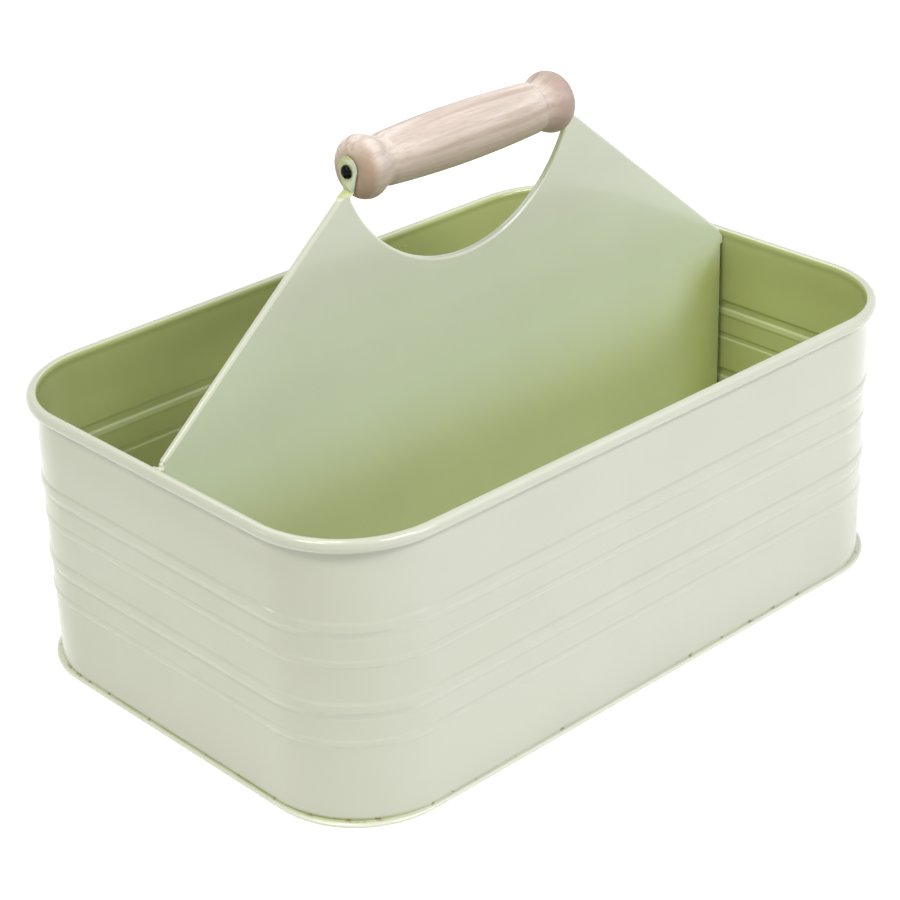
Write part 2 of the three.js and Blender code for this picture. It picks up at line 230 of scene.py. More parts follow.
def stove_enamel():
    """Pale sage stove enamel, sprayed on steel sheet and baked: glossy, with a faint orange peel, with painted
    shade that makes it deeper and greener inside the tub, and with an olive line in patches and chips along
    the folded base seam."""
    material, tree, shader, place = new_material("stove_enamel_sage")
    # The share kept on each point picks the tone: the pale outside one, then the divider's lighter, greener
    # one, which is painted light, then deeper, greener ones, which are painted shade inside the tub
    inside = add(tree, "ShaderNodeAttribute", attribute_name=PAINTED_SHADE)
    tones = add(tree, "ShaderNodeValToRGB", {"Fac": inside.outputs["Fac"]})
    stops = tones.color_ramp.elements
    stops.new(PANEL_SHARE)
    stops.new(WALL_SHARE)
    for stop, tone in zip(stops, ("#CACDBF", "#DEE8D0", "#C0C88A", "#AEB678")):
        stop.color = linear(tone)
    # Sizes of the broad tones, the rubbed runs, the chips and the orange peel
    noises = []
    for size, detail in ((45 * MM, 2.0), (38 * MM, 1.0), (3.4 * MM, 2.0), (1.6 * MM, 1.0)):
        noise = add(tree, "ShaderNodeTexNoise", {"Vector": place, "Scale": 1 / size, "Detail": detail})
        noises.append(noise.outputs["Fac"])
    broad, runs, grit, peel = noises
    coat = add(
        tree,
        "ShaderNodeMix",
        {"Factor": broad, "A": tones.outputs["Color"], "B": linear("#F4F4F1")},
        data_type="RGBA",
        blend_type="MULTIPLY",
    )
    # The lip is painted paler: a painted highlight for the light from the floor. The seam's line lies between
    # it and the wall, olive in patches, most at the near end, and flecked with chips.
    apart = add(tree, "ShaderNodeSeparateXYZ", {"Vector": place}).outputs
    ramps = (
        ("SMOOTHSTEP", apart["Z"], 1.3 * MM, 2.0 * MM, 0.8, 0.0),
        ("SMOOTHSTEP", apart["Z"], 1.7 * MM, 1.9 * MM, 0.0, 1.0),
        ("SMOOTHSTEP", apart["Z"], 2.0 * MM, 3.2 * MM, 1.0, 0.0),
        ("SMOOTHSTEP", runs, 0.4, 0.55, 0.15, 0.85),
        ("LINEAR", apart["X"], -140 * MM, -115 * MM, 1.0, 0.08),
        ("SMOOTHSTEP", grit, 0.6, 0.67, 0.0, 1.0),
    )
    shares = []
    for way, value, low, high, start, end in ramps:
        inputs = {"Value": value, "From Min": low, "From Max": high, "To Min": start, "To Max": end}
        shares.append(add(tree, "ShaderNodeMapRange", inputs, interpolation_type=way).outputs[0])
    lip_painted_light, above_lip, under_wall, patches, near_end, flecks = shares
    seam = add(tree, "ShaderNodeMath", {0: above_lip, 1: under_wall}, operation="MULTIPLY").outputs[0]
    seam_near_end = add(tree, "ShaderNodeMath", {0: seam, 1: near_end}, operation="MULTIPLY").outputs[0]
    olive_seam = add(tree, "ShaderNodeMath", {0: seam_near_end, 1: patches}, operation="MULTIPLY").outputs[0]
    chips = add(tree, "ShaderNodeMath", {0: seam, 1: flecks}, operation="MULTIPLY").outputs[0]
    colour = coat.outputs["Result"]
    for share, tone in ((lip_painted_light, "#E2E5D4"), (olive_seam, "#9AA262"), (chips, "#8A7850")):
        layer = {"Factor": share, "A": colour, "B": linear(tone)}
        colour = add(tree, "ShaderNodeMix", layer, data_type="RGBA").outputs["Result"]
    tree.links.new(colour, shader.inputs["Base Color"])
    shader.inputs["Roughness"].default_value = 0.3
    shader.inputs["Coat Weight"].default_value = 0.7
    shader.inputs["Coat Roughness"].default_value = 0.08
    bump = add(tree, "ShaderNodeBump", {"Height": peel, "Strength": 0.1, "Distance": 0.05 * MM})
    tree.links.new(bump.outputs["Normal"], shader.inputs["Normal"])
    return material


def limed_beech():
    """Turned beech, limed and waxed: pale and pinkish, with soft growth lines and broken brown streaks along
    the length, fine pores, painted shade on the side that lies low at the front at rest, and browner end
    grain at each end, painted paler on top."""
    material, tree, shader, place = new_material("limed_beech")
    centred = add(tree, "ShaderNodeMapping", {"Vector": place, "Location": -spin_axis}).outputs[0]
    # Limed patches, brown streaks and pores, with their length and width along the grain. Real pores are too
    # fine to show, so these are drawn coarser.
    drawn = []
    for long, wide, detail in ((55 * MM, 7 * MM, 2.0), (60 * MM, 3 * MM, 1.0), (6 * MM, 0.55 * MM, 1.0)):
        scale = (1 / long, 1 / wide, 1 / wide)
        grain = add(tree, "ShaderNodeMapping", {"Vector": centred, "Scale": scale}).outputs[0]
        noise = add(tree, "ShaderNodeTexNoise", {"Vector": grain, "Scale": 1.0, "Detail": detail})
        drawn.append(noise.outputs["Fac"])
    limed, streaks, pores = drawn
    ground = add(
        tree,
        "ShaderNodeMix",
        {"Factor": limed, "A": linear("#DECBC3"), "B": linear("#EEE5E1")},
        data_type="RGBA",
    )
    # The rings turn about a pith beside the grip, so they run along it as long lines about 5 mm apart
    ring_pitch = 5 * MM
    wave_period = 2 * math.pi / 20
    pith = add(
        tree,
        "ShaderNodeMapping",
        {
            "Vector": centred,
            "Location": (0, 17 * MM, -22 * MM),
            "Rotation": (0, math.radians(2.5), math.radians(1.5)),
            "Scale": (0.12, 1, 1),
        },
    )
    rings = add(
        tree,
        "ShaderNodeTexWave",
        {
            "Vector": pith.outputs[0],
            "Scale": wave_period / ring_pitch,
            "Distortion": 3.0,
            "Detail": 2.0,
            "Detail Scale": 0.9,
        },
        wave_type="RINGS",
        rings_direction="X",
    )
    # Painted shade on one side of the billet, the side that lies low at the front when the grip is at rest
    shaded_side_way = (0, -0.5, -0.87)
    shaded_side_dot = add(tree, "ShaderNodeVectorMath", {0: centred, 1: shaded_side_way}, operation="DOT_PRODUCT")
    depth = shaded_side_dot.outputs["Value"]
    # End grain shows brown at both ends, with painted light that makes it paler on top. The billet is a shade
    # deeper towards its far end.
    along = add(tree, "ShaderNodeSeparateXYZ", {"Vector": centred}).outputs["X"]
    reach = add(tree, "ShaderNodeMath", {0: along}, operation="ABSOLUTE").outputs[0]
    ramps = (
        ("SMOOTHSTEP", rings.outputs["Fac"], 0.55, 1.0, 0.0, 0.3),
        ("SMOOTHSTEP", streaks, 0.48, 0.7, 0.0, 0.42),
        ("SMOOTHSTEP", depth, -10 * MM, 11 * MM, 0.0, 0.75),
        ("LINEAR", pores, 0.5, 0.75, 0.0, 0.3),
        ("SMOOTHSTEP", reach, 48 * MM, 51.5 * MM, 0.0, 0.8),
        ("LINEAR", depth, -10 * MM, -2 * MM, 0.15, 1.0),
        ("SMOOTHSTEP", along, 36 * MM, 46 * MM, 0.0, 0.7),
    )
    shares = []
    for way, value, low, high, start, end in ramps:
        inputs = {"Value": value, "From Min": low, "From Max": high, "To Min": start, "To Max": end}
        shares.append(add(tree, "ShaderNodeMapRange", inputs, interpolation_type=way).outputs[0])
    lines, browned, low_side_shade, open_pores, near_end, end_grain_top_light, far_end = shares
    end_grain = add(tree, "ShaderNodeMath", {0: near_end, 1: end_grain_top_light}, operation="MULTIPLY").outputs[0]
    layers = [
        (lines, "#A58F85"),
        (browned, "#A0857A"),
        (low_side_shade, "#A59682"),
        (open_pores, "#9C8473"),
        (end_grain, "#A78C76"),
        (far_end, "#A58D84"),
    ]
    colour = ground.outputs["Result"]
    for share, tone in layers:
        layer = {"Factor": share, "A": colour, "B": linear(tone)}
        colour = add(tree, "ShaderNodeMix", layer, data_type="RGBA").outputs["Result"]
    tree.links.new(colour, shader.inputs["Base Color"])
    shader.inputs["Roughness"].default_value = 0.5
    relief = add(tree, "ShaderNodeMath", {0: lines, 1: open_pores}, operation="ADD")
    bump = add(
        tree,
        "ShaderNodeBump",
        {"Height": relief.outputs[0], "Strength": 0.35, "Distance": 0.15 * MM},
        invert=True,
    )
    tree.links.new(bump.outputs["Normal"], shader.inputs["Normal"])
    return material


def black_japan():
    """Black japanned steel: a thin glossy black lacquer on a pressed screw head, a little uneven."""
    material, tree, shader, place = new_material("black_japan")
    uneven = add(tree, "ShaderNodeTexNoise", {"Vector": place, "Scale": 1 / (1.5 * MM), "Detail": 1.0})
    tone = add(
        tree,
        "ShaderNodeMix",
        {"Factor": uneven.outputs["Fac"], "A": linear("#060607"), "B": linear("#121213")},
        data_type="RGBA",
    )
    tree.links.new(tone.outputs["Result"], shader.inputs["Base Color"])
    shader.inputs["Roughness"].default_value = 0.12
    shader.inputs["Specular IOR Level"].default_value = 0.08
    return material


enamel = stove_enamel()
beech = limed_beech()
japan = black_japan()


def poly_line(name, points, closed):
    """A line for a Geometry Nodes tree to sweep, or to sweep along."""
    line = bpy.data.curves.new(name, "CURVE")
    line.dimensions = "3D"
    spline = line.splines.new("POLY")
    spline.points.add(len(points) - 1)
    for target, point in zip(spline.points, points):
        target.co = (*point, 1.0)
    spline.use_cyclic_u = closed
    piece = bpy.data.objects.new(name, line)
    scene.collection.objects.link(piece)
    return piece


def new_tree(name, inputs):
    """An empty Geometry Nodes tree with named inputs, and the sockets that give them."""
    tree = bpy.data.node_groups.new(name, "GeometryNodeTree")
    for label, kind in inputs.items():
        tree.interface.new_socket(label, in_out="INPUT", socket_type="NodeSocket" + kind)
    tree.interface.new_socket("Geometry", in_out="OUTPUT", socket_type="NodeSocketGeometry")
    return tree, add(tree, "NodeGroupInput").outputs


def end_tree(tree, geometry, material):
    """Every tree ends in plain, finished geometry."""
    smooth = add(tree, "GeometryNodeSetShadeSmooth", {"Geometry": geometry})
    real = add(tree, "GeometryNodeRealizeInstances", {"Geometry": smooth.outputs[0]})
    painted = add(tree, "GeometryNodeSetMaterial", {"Geometry": real.outputs[0], "Material": material})
    add(tree, "NodeGroupOutput", {"Geometry": painted.outputs[0]})
    return tree


def round_the_tub():
    """Sweeps a section round the tub's plan, and lets the thin sheet wander a little in and out."""
    tree, given = new_tree(
        "round_the_tub",
        {
            "Section": "Object",
            "Length": "Float",
            "Width": "Float",
            "Corner Radius": "Float",
            "Step": "Float",
            "Wave Height": "Float",
            "Wave Length": "Float",
            "Wave Low": "Float",
            "Wave High": "Float",
            "Finish": "Material",
        },
    )
    box = add(
        tree,
        "GeometryNodeCurvePrimitiveQuadrilateral",
        {"Width": given["Length"], "Height": given["Width"]},
    )
    plan = add(
        tree,
        "GeometryNodeFilletCurve",
        {"Curve": box.outputs[0], "Radius": given["Corner Radius"], "Count": 40},
        mode="POLY",
    )
    steps = add(
        tree,
        "GeometryNodeResampleCurve",
        {"Curve": plan.outputs[0], "Length": given["Step"]},
        mode="LENGTH",
    )
    level = add(tree, "GeometryNodeSetCurveNormal", {"Curve": steps.outputs[0]}, mode="Z_UP")
    section = add(tree, "GeometryNodeObjectInfo", {"Object": given["Section"]})
    swept = add(
        tree,
        "GeometryNodeCurveToMesh",
        {"Curve": level.outputs[0], "Profile Curve": section.outputs["Geometry"]},
    )
    place = add(tree, "GeometryNodeInputPosition").outputs[0]
    apart = add(tree, "ShaderNodeSeparateXYZ", {"Vector": place}).outputs
    corner = []
    for size, axis in (("Length", "X"), ("Width", "Y")):
        middle = add(tree, "ShaderNodeMath", {0: given[size], 1: 0.5}, operation="MULTIPLY")
        inner = add(
            tree, "ShaderNodeMath", {0: middle.outputs[0], 1: given["Corner Radius"]}, operation="SUBTRACT"
        )
        negative = add(tree, "ShaderNodeMath", {0: inner.outputs[0], 1: -1.0}, operation="MULTIPLY")
        held = add(
            tree,
            "ShaderNodeClamp",
            {"Value": apart[axis], "Min": negative.outputs[0], "Max": inner.outputs[0]},
        )
        corner.append(held.outputs[0])
    centre = add(tree, "ShaderNodeCombineXYZ", {"X": corner[0], "Y": corner[1], "Z": apart["Z"]})
    arm = add(tree, "ShaderNodeVectorMath", {0: place, 1: centre.outputs[0]}, operation="SUBTRACT")
    outward = add(tree, "ShaderNodeVectorMath", {0: arm.outputs[0]}, operation="NORMALIZE")
    scale = add(tree, "ShaderNodeMath", {0: 1.0, 1: given["Wave Length"]}, operation="DIVIDE")
    noise = add(
        tree,
        "ShaderNodeTexNoise",
        {"Vector": place, "Scale": scale.outputs[0], "Detail": 1.0},
    )
    rise = add(tree, "ShaderNodeMath", {0: noise.outputs["Fac"], 1: 0.5}, operation="SUBTRACT")
    fade_in = add(
        tree,
        "ShaderNodeMapRange",
        {"Value": apart["Z"], "From Min": given["Wave Low"], "From Max": given["Wave High"]},
        interpolation_type="SMOOTHSTEP",
    )
    hump = add(tree, "ShaderNodeMath", {0: fade_in.outputs[0], 1: math.pi}, operation="MULTIPLY")
    free = add(tree, "ShaderNodeMath", {0: hump.outputs[0]}, operation="SINE")
    faded = add(tree, "ShaderNodeMath", {0: rise.outputs[0], 1: free.outputs[0]}, operation="MULTIPLY")
    height = add(
        tree, "ShaderNodeMath", {0: faded.outputs[0], 1: given["Wave Height"]}, operation="MULTIPLY"
    )
    shift = add(
        tree, "ShaderNodeVectorMath", {0: outward.outputs[0], "Scale": height.outputs[0]}, operation="SCALE"
    )
    waved = add(
        tree, "GeometryNodeSetPosition", {"Geometry": swept.outputs[0], "Offset": shift.outputs[0]}
    )
    return end_tree(tree, waved.outputs[0], given["Finish"])


def along_an_edge():
    """Sweeps a fold's section along an edge line, with closed ends."""
    tree, given = new_tree("along_an_edge", {"Section": "Object", "Edge": "Object", "Finish": "Material"})
    edge = add(tree, "GeometryNodeObjectInfo", {"Object": given["Edge"]})
    upright = add(tree, "GeometryNodeSetCurveNormal", {"Curve": edge.outputs["Geometry"]}, mode="Z_UP")
    section = add(tree, "GeometryNodeObjectInfo", {"Object": given["Section"]})
    swept = add(
        tree,
        "GeometryNodeCurveToMesh",
        {
            "Curve": upright.outputs[0],
            "Profile Curve": section.outputs["Geometry"],
            "Fill Caps": True,
        },
    )
    return end_tree(tree, swept.outputs[0], given["Finish"])


def grown(tree, name, sizes):
    """The plain mesh object that a tree makes with these sizes."""
    piece = bpy.data.objects.new(name, bpy.data.meshes.new(name))
    scene.collection.objects.link(piece)
    modifier = piece.modifiers.new(tree.name, "NODES")
    modifier.node_group = tree
    for socket in tree.interface.items_tree:
        if socket.in_out == "INPUT":
            modifier[socket.identifier] = sizes[socket.name]
    settle(piece)
    for used in (sizes.get("Section"), sizes.get("Edge")):
        if used:
            bpy.data.objects.remove(used)
    return piece


def settle(piece):
    """Turns a piece and its modifiers into one plain mesh."""
    depsgraph = bpy.context.evaluated_depsgraph_get()
    mesh = bpy.data.meshes.new_from_object(piece.evaluated_get(depsgraph), depsgraph=depsgraph)
    mesh.name = piece.name
    piece.modifiers.clear()
    piece.data = mesh
    return piece


def edit(piece, *steps):
    """Runs bmesh steps on a piece's mesh."""
    work = bmesh.new()
    work.from_mesh(piece.data)
    for step in steps:
        step(work)
    work.to_mesh(piece.data)
    work.free()
    return piece


def face_outward(work):
    """Merges points that lie together, and turns every face outward."""
    bmesh.ops.remove_doubles(work, verts=work.verts, dist=MERGE)
    bmesh.ops.recalc_face_normals(work, faces=work.faces)


def fill_holes(work):
    bmesh.ops.holes_fill(work, edges=work.edges)


def cut_grid(work):
    """Cuts large flat faces into a grid, so that what is kept on the points can change across them."""
    for axis in (0, 2):
        low = min(vertex.co[axis] for vertex in work.verts)
        high = max(vertex.co[axis] for vertex in work.verts)
        count = math.floor((high - low) / GRID_STEP)
        for i in range(1, count + 1):
            place, way = Vector(), Vector()
            place[axis] = low + (high - low) * i / (count + 1)
            way[axis] = 1.0
            whole = work.verts[:] + work.edges[:] + work.faces[:]
            bmesh.ops.bisect_plane(work, geom=whole, dist=MERGE, plane_co=place, plane_no=way)


def mesh_piece(name, work, material):
    """A new object from a finished bmesh."""
    mesh = bpy.data.meshes.new(name)
    bmesh.ops.recalc_face_normals(work, faces=work.faces)
    work.to_mesh(mesh)
    work.free()
    mesh.materials.append(material)
    piece = bpy.data.objects.new(name, mesh)
    scene.collection.objects.link(piece)
    return piece


def shade(piece, crease):
    """Smooth shading, with creases where faces meet more sharply than this angle in degrees."""
    piece.data.shade_smooth()
    piece.data.set_sharp_from_angle(angle=math.radians(crease))
    weighted = piece.modifiers.new("weighted", "WEIGHTED_NORMAL")
    weighted.keep_sharp = True
    return settle(piece)


def arc(centre, radius, start, end, steps):
    """Points of an arc, in degrees, in a section or an outline."""
    angles = [math.radians(start + (end - start) * i / steps) for i in range(steps + 1)]
    return [Vector((centre[0] + radius * math.cos(a), centre[1] + radius * math.sin(a))) for a in angles]


def ease(start, start_way, end, end_way, steps):
    """Points of a smooth line that leaves one point and reaches another in the given directions."""
    points = []
    reach = (end - start).length
    for i in range(1, steps):
        t = i / steps
        points.append(
            start * (2 * t**3 - 3 * t**2 + 1)
            + start_way * reach * (t**3 - 2 * t**2 + t)
            + end * (3 * t**2 - 2 * t**3)
            + end_way * reach * (t**3 - t**2)
        )
    return points


def sheet_outline(line):
    """The closed outline of a sheet whose middle runs along this line."""
    left, right = [], []
    for i, point in enumerate(line):
        arriving = (line[max(i, 1)] - line[max(i, 1) - 1]).normalized()
        leaving = (line[min(i, len(line) - 2) + 1] - line[min(i, len(line) - 2)]).normalized()
        way = (arriving + leaving).normalized()
        side = Vector((-way.y, way.x))
        reach = SHEET / 2 / side.dot(Vector((-leaving.y, leaving.x)))
        left.append(point + side * reach)
        right.append(point - side * reach)
    return left + right[::-1]


def smooth_step(value, low, high):
    """Goes smoothly from 0 to 1 while a value goes from low to high."""
    share = min(max((value - low) / (high - low), 0.0), 1.0)
    return share * share * (3 - 2 * share)


def bead_flanks(middle, bead):
    """Heights where a bead's lower flank starts and ends, then its upper one."""
    low, high = middle - bead["crown"], middle + bead["crown"]
    return (low - bead["lower"], low), (high, high + bead["upper"])


def all_beads():
    """Each bead's middle height, with its section."""
    for bold in UPPER_BEADS:
        yield bold, BOLD_BEAD
        yield bold - BEAD_PITCH, FINE_BEAD


def bead_relief(height):
    """How far the pressed beads and grooves bring the wall out at a height."""
    out = 0.0
    for middle, bead in all_beads():
        lower, upper = bead_flanks(middle, bead)
        out += bead["rise"] * (smooth_step(height, *lower) - smooth_step(height, *upper))
    for bold in UPPER_BEADS:
        away = abs(height - bold + GROOVE_DROP)
        out -= GROOVE_DEPTH * (1 - smooth_step(away, 0, GROOVE_HALF))
    return out


def wall_relief(height):
    """How far the wall stands out at a height: beads, grooves and a slight lean in to meet the roll."""
    return bead_relief(height) - roll_overhang * smooth_step(height, rim_height - LEAN_RISE, rim_height)


def wall_heights(low, high):
    """Heights at which the wall's section has points: close together on the beads' flanks."""
    heights = [low, high]
    flank_steps, widest_step = 5, 6 * MM
    flanks = [flank for middle, bead in all_beads() for flank in bead_flanks(middle, bead)]
    flanks.append((rim_height - LEAN_RISE, high))
    for bold in UPPER_BEADS:
        groove = bold - GROOVE_DROP
        flanks += [(groove - GROOVE_HALF, groove), (groove, groove + GROOVE_HALF)]
    for start, end in flanks:
        heights += [start + (end - start) * i / flank_steps for i in range(flank_steps + 1)]
    heights = sorted(set(round(height, 6) for height in heights))
    filled = heights[:1]
    for height in heights[1:]:
        pieces = math.ceil((height - filled[-1]) / widest_step)
        start = filled[-1]
        filled += [start + (height - start) * i / pieces for i in range(1, pieces + 1)]
    return filled


def wall_line():
    """Middle of the wall's sheet from the foot flange to the end of the roll, as distance out and height."""
    middle = -SHEET / 2
    foot = LIP_HEIGHT / 2
    line = [Vector((LIP_REACH - SHEET, foot))]
    line += arc((middle + FOOT_BEND, foot + FOOT_BEND), FOOT_BEND, 270, 180, 6)
    for height in wall_heights(foot + FOOT_BEND, rim_height - ROLL_RISE)[1:]:
        line.append(Vector((middle + wall_relief(height), height)))
    wide, tall = ROLL_HALF_WIDTH - SHEET / 2, RIM_RADIUS - SHEET / 2
    centre = roll_middle - wall_half_length
    circle = arc((0, 0), 1, ROLL_START, ROLL_END, 36)
    roll = [Vector((centre + wide * p.x, rim_height + tall * p.y)) for p in circle]
    start_way = (roll[1] - roll[0]).normalized()
    wall_way = (line[-1] - line[-2]).normalized()
    return line + ease(line[-1], wall_way, roll[0], start_way, 8) + roll


def ring_section(name, outline, closed=True):
    """A section for the sweep round the tub: its x runs outward and its y downward."""
    return poly_line(name, [(out, -height, 0) for out, height in outline], closed)


def plan_sizes(section, **waves):
    """What the sweep round the tub is given: the wall's plan, a section and its waves."""
    return {
        "Section": section,
        "Length": 2 * wall_half_length,
        "Width": 2 * wall_half_width,
        "Corner Radius": wall_corner,
        "Step": PLAN_STEP,
        "Finish": enamel,
        **waves,
    }


def loft(rings):
    """A closed skin over rings of points; a ring of one point is a pole."""
    work = bmesh.new()
    hoops = [[work.verts.new(point) for point in ring] for ring in rings]
    for first, second in zip(hoops, hoops[1:]):
        for i in range(max(len(first), len(second))):
            corners = [first[i % len(first)], first[(i + 1) % len(first)]]
            corners += [second[(i + 1) % len(second)], second[i % len(second)]]
            work.faces.new(list(dict.fromkeys(corners)))
    for end in (hoops[0], hoops[-1]):
        if len(end) > 2:
            work.faces.new(end)
    return work


def join(piece, *others):
    """Puts other meshes into a piece as further shells."""
    work = bmesh.new()
    for source in (piece, *others):
        work.from_mesh(source.data)
    work.to_mesh(piece.data)
    work.free()
    for other in others:
        bpy.data.objects.remove(other)
    return piece


def upright_seam():
    """The strip's two ends, welded edge to edge: a flat, rippled bead on both faces of the back wall."""
    low, high = LIP_REACH + FIT, rim_height - ROLL_RISE
    ripples = round((high - low) / SEAM_RIPPLE)
    steps = 4 * ripples
    circle = arc((0, 0), 1, 0, 337.5, 15)
    rings = []
    for i in range(steps + 1):
        height = low + (high - low) * i / steps
        ripple = 0.85 + 0.15 * math.cos(2 * math.pi * ripples * i / steps)
        width = SEAM_WIDTH / 2 * ripple
        thick = SHEET / 2 + SEAM_RISE * ripple
        middle = wall_half_width - SHEET / 2 + wall_relief(height)
        rings.append([(SEAM_PLACE + p.x * width, middle + p.y * thick, height) for p in circle])
    return mesh_piece("upright_seam", loft(rings), enamel)


def make_tub_wall(tree):
    """The beaded strip with its foot flange, its rolled rim and its upright seam."""
    section = ring_section("wall_section", sheet_outline(wall_line()))
    waves = {
        "Wave Height": 0.5 * MM,
        "Wave Length": 70 * MM,
        "Wave Low": 6 * MM,
        "Wave High": rim_height - ROLL_RISE,
    }
    piece = grown(tree, "tub_wall_sheet", plan_sizes(section, **waves))
    join(edit(piece, face_outward), upright_seam())
    return shade(piece, SHEET_CREASE)


def stretch_corners(work):
    """The folded lip is tighter round the corners than the wall, so it stands out further there."""
    concentric = wall_corner + LIP_REACH
    shift = concentric - LIP_CORNER
    for vertex in work.verts:
        arm = from_corner(vertex.co)
        out = arm.length - wall_corner
        if out > SHEET / 4:
            way = arm.normalized()
            c, s = abs(way.x), abs(way.y)
            reach = shift * (c + s) + math.sqrt(LIP_CORNER**2 - (shift * (c - s)) ** 2)
            vertex.co += way * max(reach - concentric, 0) * min(out / LIP_REACH, 1)


def make_base_pan(tree):
    """The floor sheet, with its edge folded up and over the wall's foot flange."""
    bend = LIP_HEIGHT / 2
    floor_edge = -24 * MM
    skin = [Vector((floor_edge, 0))]
    skin += arc((LIP_REACH - bend, bend), bend, -90, 90, 16)
    skin += [Vector((0, LIP_HEIGHT)), Vector((0, LIP_HEIGHT - SHEET))]
    skin += arc((LIP_REACH - bend, bend), bend - SHEET, 90, -90, 8)
    skin += [Vector((floor_edge, SHEET))]
    still = {"Wave Height": 0.0, "Wave Length": 1.0, "Wave Low": 0.0, "Wave High": 1.0}
    section = ring_section("pan_section", skin, closed=False)
    piece = grown(tree, "base_pan_sheet", plan_sizes(section, **still))
    return shade(edit(piece, fill_holes, face_outward, stretch_corners), SHEET_CREASE)


# Lines of the divider, in its own upright plane: x along the length and z up
divider_foot = SHEET + FIT
divider_end = wall_half_length - SHEET - END_GAP
divider_notch = roll_inside - FIT
flange_top = rim_height - RIM_RADIUS - FLANGE_DROP
ear_middle = grip_half + FIT + SHEET / 2
horn_tip = grip_height - HORN_DROP
arch_bottom = grip_height - ARCH_DROP
arch_half_chord = ear_middle + HORN_SET
arch_rise = horn_tip - arch_bottom
arch_radius = (arch_half_chord**2 + arch_rise**2) / (2 * arch_rise)
arch_centre = Vector((0, arch_bottom + arch_radius))
fold_radius = arch_radius + HEM_RADIUS
arch_tip_reach = math.sqrt(fold_radius**2 - (arch_centre.y - horn_tip) ** 2)
arch_tip_angle = math.degrees(math.atan2(horn_tip - arch_centre.y, arch_tip_reach))
fold_tip = Vector((arch_tip_reach + HORN_FLAT, horn_tip))
crest_foot = Vector((rim_half_length, rim_height))
crest_sight = fold_tip - crest_foot
slope_turn = math.atan2(crest_sight.y, crest_sight.x) - math.asin(HEM_RADIUS / crest_sight.length)
slope_way = Vector((math.cos(slope_turn), math.sin(slope_turn)))
slope_out = Vector((slope_way.y, -slope_way.x))
fold_start = crest_foot - slope_out * HEM_RADIUS
fold_middle = divider_y + HEM_RADIUS - SHEET / 2


def on_fold(x):
    """The point of the slope's fold line at this x."""
    return fold_start + slope_way * ((x - fold_start.x) / slope_way.x)


hem_foot = on_fold(roll_inside - HEM_FOOT)


def arch_line():
    """The arch's fold line, from the far horn's tip to the near one's."""
    return arc(arch_centre, fold_radius, arch_tip_angle, -180 - arch_tip_angle, 72)


def prism(outline, place, along, edge=0.0):
    """A closed outline, set in space by a function, and drawn along a direction, with its edges eased."""
    work = bmesh.new()
    face = work.faces.new([work.verts.new(place(point)) for point in outline])
    drawn = bmesh.ops.extrude_face_region(work, geom=[face])
    moved = [v for v in drawn["geom"] if isinstance(v, bmesh.types.BMVert)]
    bmesh.ops.translate(work, verts=moved, vec=along)
    if edge:
        rims = [e for e in work.edges if max(len(f.verts) for f in e.link_faces) > 4]
        bmesh.ops.bevel(work, geom=rims, offset=edge, segments=2, affect="EDGES", profile=0.5)
    return work


def divider_panel():
    """The flat panel, up to the fold lines of its hems."""
    end = divider_end - FLANGE_BEND - SHEET
    shoulder = on_fold(divider_notch)
    right = [
        Vector((end, divider_foot)),
        Vector((end, flange_top)),
        Vector((divider_notch, flange_top)),
        shoulder,
        fold_tip,
    ]
    left = [Vector((-point.x, point.y)) for point in reversed(right)]
    outline = right + arch_line() + left
    place = lambda point: Vector((point.x, divider_y - SHEET / 2, point.y))
    return mesh_piece("divider_sheet", prism(outline, place, (0, SHEET, 0)), enamel)


def hem_section():
    """The hem turns back behind the panel over two tight bends: x runs to the back and y inward."""
    back = 2 * HEM_RADIUS - SHEET
    bend = HEM_BEND - SHEET / 2
    start = HEM_RADIUS - HEM_BEND
    line = [Vector((-HEM_LEG, back))]
    line += arc((start, back - bend), bend, 90, 0, 8)
    line += arc((start, bend), bend, 0, -90, 8)
    line += [Vector((-HEM_LEG, 0))]
    return poly_line("hem_section", [(behind, -out, 0) for out, behind in sheet_outline(line)], True)


def hem(tree, name, points):
    """A hem along a line of the divider's plane."""
    edge = poly_line(name + "_line", [(point.x, divider_y, point.y) for point in points], False)
    piece = grown(tree, name, {"Section": hem_section(), "Edge": edge, "Finish": enamel})
    return edit(piece, face_outward)


def end_flange(side):
    """The panel's end, bent to the back against the tub's end wall."""
    reach = divider_end - SHEET / 2
    bend = FLANGE_BEND + SHEET / 2
    line = [Vector((reach - 4 * bend, 0))]
    line += arc((reach - bend, bend), bend, -90, 0, 8)
    line += [Vector((reach, FLANGE_WIDTH - SHEET / 2))]
    outline = sheet_outline(line)
    stand = (0, 0, flange_top - divider_foot)
    place = lambda point: Vector((side * point.x, divider_y + point.y, divider_foot))
    return mesh_piece("end_flange", prism(outline, place, stand), enamel)


def blend(start, end, share):
    """The value at a share of the way from start to end."""
    return start + (end - start) * share


def squared(value):
    """Pushes a round section's cosine or sine out towards a square one."""
    return math.copysign(abs(value) ** 0.6, value)


